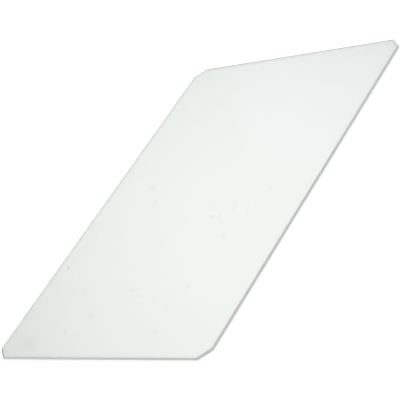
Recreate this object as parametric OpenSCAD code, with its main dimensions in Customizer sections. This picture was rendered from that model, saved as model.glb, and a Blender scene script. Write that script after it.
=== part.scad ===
// Fridge crisper cover: one flat sheet of toughened glass with clipped corners and ground edges.
// It lies on the ledges above the salad drawer and serves as the lowest shelf.
// X runs across the fridge, Y from the front edge to the back edge, Z up.
// The origin is at the middle of the underside. Lengths are in millimetres.

/* [Sheet] */
// Length across the fridge, from end to end
sheet_length = 470; // [400:1:540]
// Depth from the front edge to the back edge
sheet_depth = 305; // [250:1:360]
// Thickness of the glass
glass_thickness = 3.2; // [3:0.1:6]

/* [Corners] */
// Leg of each 45 degree corner clip, measured along either edge
clip_leg = 12.7; // [5:0.1:40]

/* [Ground edges] */
// Width of the arris that takes the sharpness off the top of every edge
top_arris = 0.5; // [0.2:0.05:1.2]
// Width of the arris along the underside of every edge
bottom_arris = 0.5; // [0.2:0.05:1.2]

/* [Hidden] */

// Distance between the two ground faces of opposite corner clips
clip_span = (sheet_length + sheet_depth - 2 * clip_leg) / sqrt(2);
// Long enough for a strip to reach past the sheet in any direction
strip_reach = sheet_length + sheet_depth;
glass_tint = [0.86, 0.93, 0.90, 0.5];

// Section through the sheet from one ground edge to the opposite one
module ground_section(span) {
    half = span / 2;
    polygon([
        [half - bottom_arris, 0],
        [half, bottom_arris],
        [half, glass_thickness - top_arris],
        [half - top_arris, glass_thickness],
        [-half + top_arris, glass_thickness],
        [-half, glass_thickness - top_arris],
        [-half, bottom_arris],
        [-half + bottom_arris, 0],
    ]);
}

// Endless strip of glass with two ground edges, which face along the given bearing
module ground_strip(span, bearing) {
    rotate([0, 0, bearing])
        rotate([90, 0, 0])
            linear_extrude(height = strip_reach, center = true)
                ground_section(span);
}

// The sheet is what four strips share: its length, its depth and both pairs of clipped corners.
// Their arrises meet in true mitres at the eight points of the outline.
module glass_sheet() {
    color(glass_tint)
        intersection() {
            ground_strip(sheet_length, 0);
            ground_strip(sheet_depth, 90);
            ground_strip(clip_span, 45);
            ground_strip(clip_span, -45);
        }
}

glass_sheet();
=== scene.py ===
import math

import bpy
from mathutils import Matrix, Vector


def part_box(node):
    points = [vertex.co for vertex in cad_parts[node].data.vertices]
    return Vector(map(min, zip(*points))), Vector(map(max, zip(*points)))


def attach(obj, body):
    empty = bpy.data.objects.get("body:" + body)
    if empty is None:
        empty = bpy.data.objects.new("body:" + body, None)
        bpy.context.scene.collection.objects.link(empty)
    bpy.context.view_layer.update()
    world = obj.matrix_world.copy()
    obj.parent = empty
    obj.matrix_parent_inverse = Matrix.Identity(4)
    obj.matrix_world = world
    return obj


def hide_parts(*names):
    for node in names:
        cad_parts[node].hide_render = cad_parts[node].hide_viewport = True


# One sheet of clear float glass with clipped corners and ground edges, lying on a white table.
# Lengths are metres in the frame's own axes: X along the sheet, Y from its front edge to its back edge,
# Z up, with the underside at 0.
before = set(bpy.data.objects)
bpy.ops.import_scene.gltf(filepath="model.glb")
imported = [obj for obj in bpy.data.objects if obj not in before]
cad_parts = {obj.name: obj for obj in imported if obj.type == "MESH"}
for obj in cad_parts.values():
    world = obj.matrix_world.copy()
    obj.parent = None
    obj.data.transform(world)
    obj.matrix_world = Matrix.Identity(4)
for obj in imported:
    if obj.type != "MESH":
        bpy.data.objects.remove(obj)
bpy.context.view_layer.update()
print("frame loaded")

# the frame's sizes


def measureSheet():
    low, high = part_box("glass_sheet")
    points = [v.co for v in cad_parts["glass_sheet"].data.vertices]
    onLongEdge = [p for p in points if p.y > high.y - 1e-6]
    return {
        "length": high.x - low.x,
        "depth": high.y - low.y,
        "thickness": high.z - low.z,
        "clipLeg": high.x - max(p.x for p in onLongEdge),
        "bottomArris": min(p.z for p in onLongEdge) - low.z,
        "topArris": high.z - max(p.z for p in onLongEdge),
    }


sheetSizes = measureSheet()
print("sheet measured:", {name: round(1000 * size, 2) for name, size in sheetSizes.items()}, "mm")


def addNode(tree, kind, inputs=None, **settings):
    made = tree.nodes.new(kind)
    for name, value in settings.items():
        setattr(made, name, value)
    for key, value in (inputs or {}).items():
        if isinstance(value, bpy.types.NodeSocket):
            tree.links.new(value, made.inputs[key])
        else:
            made.inputs[key].default_value = value
    return made


def calc(tree, operation, *values):
    kind = "ShaderNodeMath"
    return addNode(tree, kind, dict(enumerate(values)), operation=operation).outputs[0]


def vectorCalc(tree, operation, *values, output=0):
    kind = "ShaderNodeVectorMath"
    return addNode(tree, kind, dict(enumerate(values)), operation=operation).outputs[output]


def blendValues(tree, factor, first, second):
    return addNode(tree, "ShaderNodeMix", {0: factor, 2: first, 3: second}).outputs[0]


def blendColours(tree, factor, first, second):
    return addNode(tree, "ShaderNodeMix", {0: factor, 6: first, 7: second}, data_type="RGBA").outputs[2]


# camera: the photo was taken from the front left and turned on its side

camera = {
    "azimuth": -39.3,  # degrees round from the front edge
    "elevation": 28.4,
    "roll": -35.1,
    "distance": 1.7406,
    "aim": (-0.0078, -0.0020, 0.0032),  # the point of the top face in the middle of the picture
    "lens": 145.97,  # mm, on a sensor 36 mm wide
}


def placeCamera():
    azimuth = math.radians(camera["azimuth"])
    elevation = math.radians(camera["elevation"])
    back = Vector((
        math.sin(azimuth) * math.cos(elevation),
        -math.cos(azimuth) * math.cos(elevation),
        math.sin(elevation),
    ))
    lens = bpy.data.cameras.new("camera")
    lens.lens = camera["lens"]
    lens.sensor_width = 36
    lens.clip_start = 0.05
    lens.clip_end = 50
    eye = bpy.data.objects.new("camera", lens)
    rolled = Matrix.Rotation(math.radians(camera["roll"]), 3, "Z")
    turn = (-back).to_track_quat("-Z", "Y").to_matrix() @ rolled
    eye.matrix_world = Matrix.Translation(Vector(camera["aim"]) + camera["distance"] * back) @ turn.to_4x4()
    bpy.context.scene.collection.objects.link(eye)
    bpy.context.scene.camera = eye


placeCamera()
print("camera placed")

# studio

studio = {
    "ambient": 0.8,  # level of the even light from all round
    "softLights": [  # azimuth and elevation in degrees from +Y towards +X, reach in degrees, colour
        (40.5, 30.3, 9.8, (0.95, 0.965, 0.995)),  # the wide glow that the camera sees in the sheet
        (46.5, 27.5, 4.5, (0.12, 0.10, 0.20)),
        (130.0, 35.0, 45.0, (1.0, 1.0, 1.0)),
        (220.0, 35.0, 45.0, (1.0, 1.0, 1.0)),
        (310.0, 35.0, 45.0, (1.0, 1.0, 1.0)),
        (0.0, 90.0, 45.0, (1.0, 1.0, 1.0)),
    ],
    "floorSize": 30.0,
    "floorGap": 0.0002,  # air under the sheet
    "floorGlow": 0.3,
    "floorColour": (0.75, 0.75, 0.75, 1),
}


def rayIs(tree, *kinds):
    rays = tree.nodes.new("ShaderNodeLightPath")
    found = rays.outputs[kinds[0]]
    for kind in kinds[1:]:
        found = calc(tree, "MAXIMUM", found, rays.outputs[kind])
    return found


def makeWorld():
    world = bpy.data.worlds.new("studio")
    world.use_nodes = True
    bpy.context.scene.world = world
    tree = world.node_tree
    tree.nodes.clear()
    direction = addNode(tree, "ShaderNodeTexCoord").outputs["Generated"]
    mirrored = (0.0, 0.0, 0.0)
    for azimuth, elevation, reach, colour in studio["softLights"]:
        a, e = math.radians(azimuth), math.radians(elevation)
        towards = (math.sin(a) * math.cos(e), math.cos(a) * math.cos(e), math.sin(e))
        glow = addNode(tree, "ShaderNodeMapRange", {
            "Value": vectorCalc(tree, "DOT_PRODUCT", direction, towards, output=1),
            "From Min": math.cos(math.radians(reach)), "From Max": 1.0,
        }).outputs[0]
        coloured = addNode(tree, "ShaderNodeVectorMath", {0: colour, "Scale": glow}, operation="SCALE")
        mirrored = vectorCalc(tree, "ADD", mirrored, coloured.outputs[0])
    rays = tree.nodes.new("ShaderNodeLightPath").outputs
    bounced = calc(tree, "COMPARE", rays["Glossy Depth"], 1.0, 0.5)
    bounced = calc(tree, "MULTIPLY", bounced, calc(tree, "SUBTRACT", 1.0, rays["Is Diffuse Ray"]))
    seen = rayIs(tree, "Is Camera Ray", "Is Transmission Ray")
    level = blendColours(tree, bounced, blendValues(tree, seen, studio["ambient"], 1.0), mirrored)
    background = addNode(tree, "ShaderNodeBackground", {"Color": level, "Strength": 1.0})
    addNode(tree, "ShaderNodeOutputWorld", {"Surface": background.outputs[0]})


def makeFloor():
    half = studio["floorSize"] / 2
    z = -studio["floorGap"]
    mesh = bpy.data.meshes.new("floor")
    corners = [(-half, -half, z), (half, -half, z), (half, half, z), (-half, half, z)]
    mesh.from_pydata(corners, [], [(0, 1, 2, 3)])
    floor = bpy.data.objects.new("floor", mesh)
    bpy.context.scene.collection.objects.link(floor)
    material = bpy.data.materials.new("whiteTable")
    material.use_nodes = True
    tree = material.node_tree
    tree.nodes.clear()
    matt = addNode(tree, "ShaderNodeBsdfDiffuse", {"Color": studio["floorColour"]})
    seen = rayIs(tree, "Is Camera Ray", "Is Glossy Ray", "Is Transmission Ray")
    glowing = calc(tree, "MULTIPLY", seen, studio["floorGlow"])
    glow = addNode(tree, "ShaderNodeEmission", {"Strength": glowing})
    both = addNode(tree, "ShaderNodeAddShader", {0: matt.outputs[0], 1: glow.outputs[0]})
    unseen = addNode(tree, "ShaderNodeBsdfTransparent")
    underneath = addNode(tree, "ShaderNodeNewGeometry").outputs["Backfacing"]
    surface = addNode(tree, "ShaderNodeMixShader", {0: underneath, 1: both.outputs[0], 2: unseen.outputs[0]})
    addNode(tree, "ShaderNodeOutputMaterial", {"Surface": surface.outputs[0]})
    mesh.materials.append(material)


lamps = {  # azimuth, elevation in degrees round the sheet, distance, width, power in watts
    "key": (-100, 55, 2.2, 1.4, 7),
    "fill": (30, 45, 2.4, 1.6, 6),
    "back": (150, 50, 2.4, 1.6, 4),
}


def hangLamps():
    for name, (azimuth, elevation, distance, width, power) in lamps.items():
        a, e = math.radians(azimuth), math.radians(elevation)
        towards = Vector((math.sin(a) * math.cos(e), -math.cos(a) * math.cos(e), math.sin(e)))
        light = bpy.data.lights.new(name, "AREA")
        light.shape = "DISK"
        light.size = width
        light.energy = power
        lamp = bpy.data.objects.new(name, light)
        turn = towards.to_track_quat("Z", "Y").to_matrix().to_4x4()
        lamp.matrix_world = Matrix.Translation(distance * towards) @ turn
        lamp.visible_glossy = False  # the glass mirrors the world's soft lights and not the lamps
        lamp.visible_camera = False
        lamp.visible_transmission = False
        bpy.context.scene.collection.objects.link(lamp)


makeWorld()
makeFloor()
hangLamps()
print("studio lit")

# glass

glass = {
    "ior": 1.52,
    "faceTint": (0.989, 0.975, 0.968, 1),  # what each face keeps of white light that crosses it
    "depthTint": (0.0, 0.6, 0.3, 1),  # green of the glass along its depth
    "depthDensity": 8.0,
    "shadowTint": (0.92, 0.93, 0.92, 1),  # light left under the sheet
    "edgeShadow": (0.55, 0.56, 0.55, 1),  # light left under its ground edges
    "groundColour": (0.665, 0.69, 0.67, 1),
    "groundColourInside": (0.95, 0.96, 0.95, 1),
    "groundRoughness": 0.4,
    "groundRoughnessInside": 0.08,
    "groundClear": 0.1,
    "groundClearInside": 1.0,  # a ground edge is bright where light comes through it from behind
    "grindingPitch": 0.0003,  # across the streaks that the wheel left along the edges
    "grindingLength": 0.012,
    "grindingRoughness": 0.25,
    "grindingDepth": 0.00003,
}

# marks on the top face: the smudges, the film and the specks are dirt; the clouds are painted shade darkening
# the back left corner
wearAndShade = {
    "smudges": [  # x, y, length and width on the top face in millimetres, turn in degrees
        (78, -5, 13, 8, 104), (19, 90, 22, 11, 82), (-4, 68, 18, 10, 42), (2, -96, 12, 10, 0),
        (-25, -62, 17, 7, 32), (-26, -82, 19, 7, 9), (-37, -40, 28, 8, 74), (-39, -50, 32, 7, 37),
        (-69, -72, 22, 7, 35), (-138, -67, 16, 12, 4), (-77, 12, 10, 8, 90), (-40, -3, 8, 7, 0),
        (-141, 11, 15, 9, 63), (-150, -5, 14, 9, 75), (-161, -35, 17, 8, 35), (-162, -53, 15, 8, 32),
        (-202, -64, 16, 9, 62), (-138, 84, 18, 11, 66), (-175, 47, 24, 11, 68), (108, -88, 12, 8, 135),
        (218, 42, 22, 8, 27),
    ],
    "smudgeCore": 0.2,  # inner share of an oval that is at full strength
    "smudgeTakes": 0.06,  # share of the light that a smudge keeps back
    "smudgeRoughness": 0.05,
    "shadeClouds": [(-215, 114, 60, 34, 86)],  # painted shade over the back left corner, wider and softer, as the smudges
    "shadeCloudCore": 0.1,
    "shadeCloudTakes": 0.08,
    "filmTakes": 0.012,  # a thin film of wiping over the whole top face
    "filmGrain": 0.045,
    "specks": [(-103, 136, 2.6, 1.9, 60), (-201, 67, 2.0, 1.4, 90)],
    "speckCore": 0.7,
    "speckColour": (0.16, 0.17, 0.15, 1),
    "speckRoughness": 0.8,
    "raggedness": 0.006,  # how far the edges of the marks wander
    "raggedGrain": 0.008,
}


def spots(tree, place, marks, core):
    # 1 inside the ovals, down to 0 at their rims; core is the inner share that stays at 1
    found = 0.0
    for x, y, length, width, turn in marks:
        oval = addNode(tree, "ShaderNodeMapping", {
            "Vector": place, "Location": (x / 1000, y / 1000, 0), "Rotation": (0, 0, math.radians(turn)),
            "Scale": (length / 2000, width / 2000, 1),
        }, vector_type="TEXTURE").outputs[0]
        spot = addNode(tree, "ShaderNodeMapRange", {
            "Value": vectorCalc(tree, "LENGTH", oval, output=1), "From Min": 1.0, "From Max": core,
        }, interpolation_type="SMOOTHSTEP").outputs[0]
        found = calc(tree, "MAXIMUM", found, spot)
    return found


def topWearAndShade(tree, place, ground):
    # what the marks on the top face keep back (dirt, and painted shade in the clouds), how rough they are
    # there, and where the specks lie
    high = addNode(tree, "ShaderNodeSeparateXYZ", {0: place}).outputs[2]
    onTop = calc(tree, "GREATER_THAN", high, 0.6 * sheetSizes["thickness"])
    onTop = calc(tree, "MULTIPLY", onTop, calc(tree, "SUBTRACT", 1.0, ground))
    wander = addNode(tree, "ShaderNodeTexNoise", {
        "Vector": place, "Scale": 1 / wearAndShade["raggedGrain"], "Detail": 3.0,
    })
    sideways = vectorCalc(tree, "SUBTRACT", wander.outputs["Color"], (0.5, 0.5, 0.5))
    ragged = addNode(tree, "ShaderNodeVectorMath", {
        0: sideways, "Scale": wearAndShade["raggedness"],
    }, operation="SCALE")
    moved = vectorCalc(tree, "ADD", place, ragged.outputs[0])
    smudge = calc(tree, "MULTIPLY", spots(tree, moved, wearAndShade["smudges"], wearAndShade["smudgeCore"]), onTop)
    # painted shade: the clouds darken the back left corner of the top face
    paintedShade = calc(tree, "MULTIPLY", spots(tree, moved, wearAndShade["shadeClouds"], wearAndShade["shadeCloudCore"]), onTop)
    speck = calc(tree, "MULTIPLY", spots(tree, place, wearAndShade["specks"], wearAndShade["speckCore"]), onTop)
    film = addNode(tree, "ShaderNodeTexNoise", {
        "Vector": place, "Scale": 1 / wearAndShade["filmGrain"], "Detail": 4.0, "Roughness": 0.55,
    }).outputs[0]
    dimmedByWearAndShade = calc(tree, "MULTIPLY", calc(tree, "MULTIPLY", film, onTop), wearAndShade["filmTakes"])
    dimmedByWearAndShade = calc(tree, "MULTIPLY_ADD", smudge, wearAndShade["smudgeTakes"], dimmedByWearAndShade)
    dimmedByWearAndShade = calc(tree, "MULTIPLY_ADD", paintedShade, wearAndShade["shadeCloudTakes"], dimmedByWearAndShade)
    return dimmedByWearAndShade, calc(tree, "MULTIPLY", smudge, wearAndShade["smudgeRoughness"]), speck


def makeGlass():
    material = bpy.data.materials.new("floatGlass")
    material.use_nodes = True
    tree = material.node_tree
    tree.nodes.clear()
    ground = addNode(tree, "ShaderNodeAttribute", attribute_name="groundEdge").outputs["Fac"]
    place = addNode(tree, "ShaderNodeTexCoord").outputs["Object"]
    along = 1 / glass["grindingLength"]
    streaks = vectorCalc(tree, "MULTIPLY", place, (along, along, 1 / glass["grindingPitch"]))
    grain = addNode(tree, "ShaderNodeTexNoise", {
        "Vector": streaks, "Scale": 1.0, "Detail": 2.0, "Roughness": 0.6,
    }).outputs[0]
    inside = addNode(tree, "ShaderNodeNewGeometry").outputs["Backfacing"]
    groundRoughness = blendValues(tree, inside, glass["groundRoughness"], glass["groundRoughnessInside"])
    streaked = calc(tree, "MULTIPLY_ADD", grain, glass["grindingRoughness"], groundRoughness)
    clearGround = blendValues(tree, inside, glass["groundClear"], glass["groundClearInside"])
    groundColour = blendColours(tree, inside, glass["groundColour"], glass["groundColourInside"])
    # the face colour is dimmed by dirt and by the painted shade of the clouds
    dimmedByWearAndShade, smudgeRoughness, speck = topWearAndShade(tree, place, ground)
    kept = calc(tree, "SUBTRACT", 1.0, dimmedByWearAndShade)
    face = addNode(tree, "ShaderNodeVectorMath", {0: glass["faceTint"][:3], "Scale": kept}, operation="SCALE")
    colour = blendColours(tree, ground, face.outputs[0], groundColour)
    colour = blendColours(tree, speck, colour, wearAndShade["speckColour"])
    roughness = calc(tree, "MULTIPLY_ADD", ground, streaked, smudgeRoughness)
    roughness = blendValues(tree, speck, roughness, wearAndShade["speckRoughness"])
    clear = blendValues(tree, ground, 1.0, clearGround)
    clear = calc(tree, "MULTIPLY", clear, calc(tree, "SUBTRACT", 1.0, speck))
    scratched = addNode(tree, "ShaderNodeBump", {
        "Strength": ground, "Distance": glass["grindingDepth"], "Height": grain,
    })
    body = addNode(tree, "ShaderNodeBsdfPrincipled", {
        "Base Color": colour, "Roughness": roughness, "Transmission Weight": clear, "IOR": glass["ior"],
        "Normal": scratched.outputs[0],
    })
    shade = blendColours(tree, ground, glass["shadowTint"], glass["edgeShadow"])
    passing = addNode(tree, "ShaderNodeBsdfTransparent", {"Color": shade})
    rays = tree.nodes.new("ShaderNodeLightPath").outputs
    surface = body
    for kind in ("Is Diffuse Ray", "Is Shadow Ray"):  # the lamps reach the table through the sheet
        surface = addNode(tree, "ShaderNodeMixShader", {
            0: rays[kind], 1: surface.outputs[0], 2: passing.outputs[0],
        })
    depth = addNode(tree, "ShaderNodeVolumeAbsorption", {
        "Color": glass["depthTint"], "Density": glass["depthDensity"],
    })
    addNode(tree, "ShaderNodeOutputMaterial", {"Surface": surface.outputs[0], "Volume": depth.outputs[0]})
    return material


# the sheet, drawn out of its octagonal outline

edgeFinish = {
    "edgeBreak": 0.00006,  # width of the worn line where two ground faces meet
    "edgeBreakSteps": 2,
}


def addInputs(tree, names):
    tree.interface.new_socket("Geometry", in_out="OUTPUT", socket_type="NodeSocketGeometry")
    for name in names:
        tree.interface.new_socket(name, in_out="INPUT", socket_type="NodeSocketFloat")
    tree.interface.new_socket("Material", in_out="INPUT", socket_type="NodeSocketMaterial")
    return tree.nodes.new("NodeGroupInput").outputs


def sheetTree():
    tree = bpy.data.node_groups.new("groundSheet", "GeometryNodeTree")
    size = addInputs(tree, ["Length", "Depth", "Thickness", "Clip Leg", "Top Arris", "Bottom Arris"])
    # The eight corners start on a unit circle, one at each end of every clip
    circle = addNode(tree, "GeometryNodeMeshCircle", {"Vertices": 8, "Radius": 1.0}, fill_type="NGON")
    turned = addNode(tree, "GeometryNodeTransform", {
        "Geometry": circle.outputs[0], "Rotation": (0, 0, math.radians(22.5)),
    })
    place = addNode(tree, "ShaderNodeSeparateXYZ", {0: addNode(tree, "GeometryNodeInputPosition").outputs[0]})
    onLong = calc(tree, "GREATER_THAN", calc(tree, "ABSOLUTE", place.outputs[1]),
                  calc(tree, "ABSOLUTE", place.outputs[0]))
    onShort = calc(tree, "SUBTRACT", 1.0, onLong)
    signs = addNode(tree, "ShaderNodeCombineXYZ", {
        0: calc(tree, "SIGN", place.outputs[0]), 1: calc(tree, "SIGN", place.outputs[1]),
    }).outputs[0]

    def reach(side, isClipped):
        return calc(tree, "SUBTRACT", calc(tree, "MULTIPLY", side, 0.5),
                    calc(tree, "MULTIPLY", size["Clip Leg"], isClipped))

    corner = addNode(tree, "ShaderNodeCombineXYZ", {
        0: reach(size["Length"], onLong), 1: reach(size["Depth"], onShort),
    }).outputs[0]
    # How far a corner moves when every edge moves outwards by 1
    slant = math.tan(math.radians(22.5))
    mitre = addNode(tree, "ShaderNodeCombineXYZ", {
        0: calc(tree, "MULTIPLY_ADD", onLong, slant, onShort),
        1: calc(tree, "MULTIPLY_ADD", onShort, slant, onLong),
    }).outputs[0]
    kept = addNode(tree, "GeometryNodeCaptureAttribute", {0: turned.outputs[0]}, domain="POINT")
    for slot, (name, value) in enumerate({"Corner": corner, "Mitre": mitre}.items(), 1):
        kept.capture_items.new("VECTOR", name)
        tree.links.new(vectorCalc(tree, "MULTIPLY", value, signs), kept.inputs[slot])

    def ring(geometry, inset, height, **chosen):
        inwards = addNode(tree, "ShaderNodeVectorMath", {
            0: kept.outputs[2], "Scale": inset,
        }, operation="SCALE")
        level = vectorCalc(tree, "SUBTRACT", kept.outputs[1], inwards.outputs[0])
        raised = vectorCalc(tree, "ADD", level, addNode(tree, "ShaderNodeCombineXYZ", {2: height}).outputs[0])
        placed = {"Geometry": geometry, "Position": raised, **chosen}
        return addNode(tree, "GeometryNodeSetPosition", placed).outputs[0]

    underside = ring(kept.outputs[0], size["Bottom Arris"], 0.0)
    levels = [  # inset, height, mark on the faces below
        (0.0, size["Bottom Arris"], 0.7),
        (0.0, calc(tree, "SUBTRACT", size["Thickness"], size["Top Arris"]), 1.0),
        (size["Top Arris"], size["Thickness"], 0.7),
    ]
    grown = underside
    lid = True
    for inset, height, mark in levels:
        drawn = addNode(tree, "GeometryNodeExtrudeMesh", {
            "Mesh": grown, "Selection": lid, "Offset Scale": 0.0, "Individual": False,
        })
        lid = drawn.outputs["Top"]
        marked = addNode(tree, "GeometryNodeStoreNamedAttribute", {
            "Geometry": drawn.outputs["Mesh"], "Selection": drawn.outputs["Side"], "Name": "groundEdge",
            "Value": mark,
        }, data_type="FLOAT", domain="FACE")
        grown = ring(marked.outputs[0], inset, height, Selection=lid)
    joined = addNode(tree, "GeometryNodeJoinGeometry")
    tree.links.new(grown, joined.inputs[0])
    tree.links.new(addNode(tree, "GeometryNodeFlipFaces", {0: underside}).outputs[0], joined.inputs[0])
    welded = addNode(tree, "GeometryNodeMergeByDistance", {0: joined.outputs[0], "Distance": 1e-5})
    real = addNode(tree, "GeometryNodeRealizeInstances", {0: welded.outputs[0]})
    coated = addNode(tree, "GeometryNodeSetMaterial", {
        "Geometry": real.outputs[0], "Material": size["Material"],
    })
    addNode(tree, "NodeGroupOutput", {0: coated.outputs[0]})
    return tree


def growPiece(name, tree, values, more=()):
    seed = bpy.data.objects.new(name, bpy.data.meshes.new(name))
    bpy.context.scene.collection.objects.link(seed)
    grower = seed.modifiers.new("grower", "NODES")
    grower.node_group = tree
    sockets = {item.name: item.identifier for item in tree.interface.items_tree if item.in_out == "INPUT"}
    for socket, value in values.items():
        grower[sockets[socket]] = value
    for kind, settings in more:
        finisher = seed.modifiers.new(kind, kind)
        for setting, value in settings.items():
            setattr(finisher, setting, value)
    bpy.context.view_layer.update()
    graph = bpy.context.evaluated_depsgraph_get()
    grown = seed.evaluated_get(graph)
    mesh = bpy.data.meshes.new_from_object(grown, preserve_all_data_layers=True, depsgraph=graph)
    seed.modifiers.clear()
    seed.data = mesh
    mesh.name = name
    return seed


def makeSheet(material):
    values = {
        "Length": sheetSizes["length"], "Depth": sheetSizes["depth"], "Thickness": sheetSizes["thickness"],
        "Clip Leg": sheetSizes["clipLeg"], "Top Arris": sheetSizes["topArris"],
        "Bottom Arris": sheetSizes["bottomArris"], "Material": material,
    }
    dubbing = {
        "width": edgeFinish["edgeBreak"], "segments": edgeFinish["edgeBreakSteps"],
        "limit_method": "ANGLE", "angle_limit": math.radians(20),
    }
    sheet = growPiece("groundGlassSheet", sheetTree(), values, more=[("BEVEL", dubbing)])
    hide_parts("glass_sheet")
    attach(sheet, "root")
    return sheet


floatGlass = makeGlass()
sheet = makeSheet(floatGlass)
print("sheet made:", len(sheet.data.polygons), "faces")

bpy.context.scene.view_settings.view_transform = "Standard"
